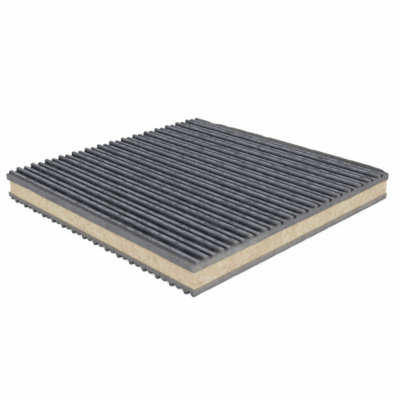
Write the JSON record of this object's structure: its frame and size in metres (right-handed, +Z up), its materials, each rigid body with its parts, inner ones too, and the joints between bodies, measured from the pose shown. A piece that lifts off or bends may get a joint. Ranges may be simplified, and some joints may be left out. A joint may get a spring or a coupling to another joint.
{
  "type": "anti vibration machine pad",
  "caption": "Near-square machine pad: a cork core bonded between ribbed rubber sheets whose ribs cross at right angles, to damp vibration under a machine's foot.",
  "frame": {"origin": "middle of the bottom, on the plane of the lower sheet's high rib crowns, which is the floor", "axes": "+Z up through the layers; the top sheet's ribs run along X and the bottom sheet's along Y"},
  "size_m": [0.208, 0.2, 0.0239],
  "materials": {
    "rubber": "matt moulded rubber",
    "cork": "cut agglomerated cork"
  },
  "bodies": {
    "root": {"top_rubber_sheet": "rubber", "cork_core": "cork", "bottom_rubber_sheet": "rubber"}
  },
  "joints": []
}
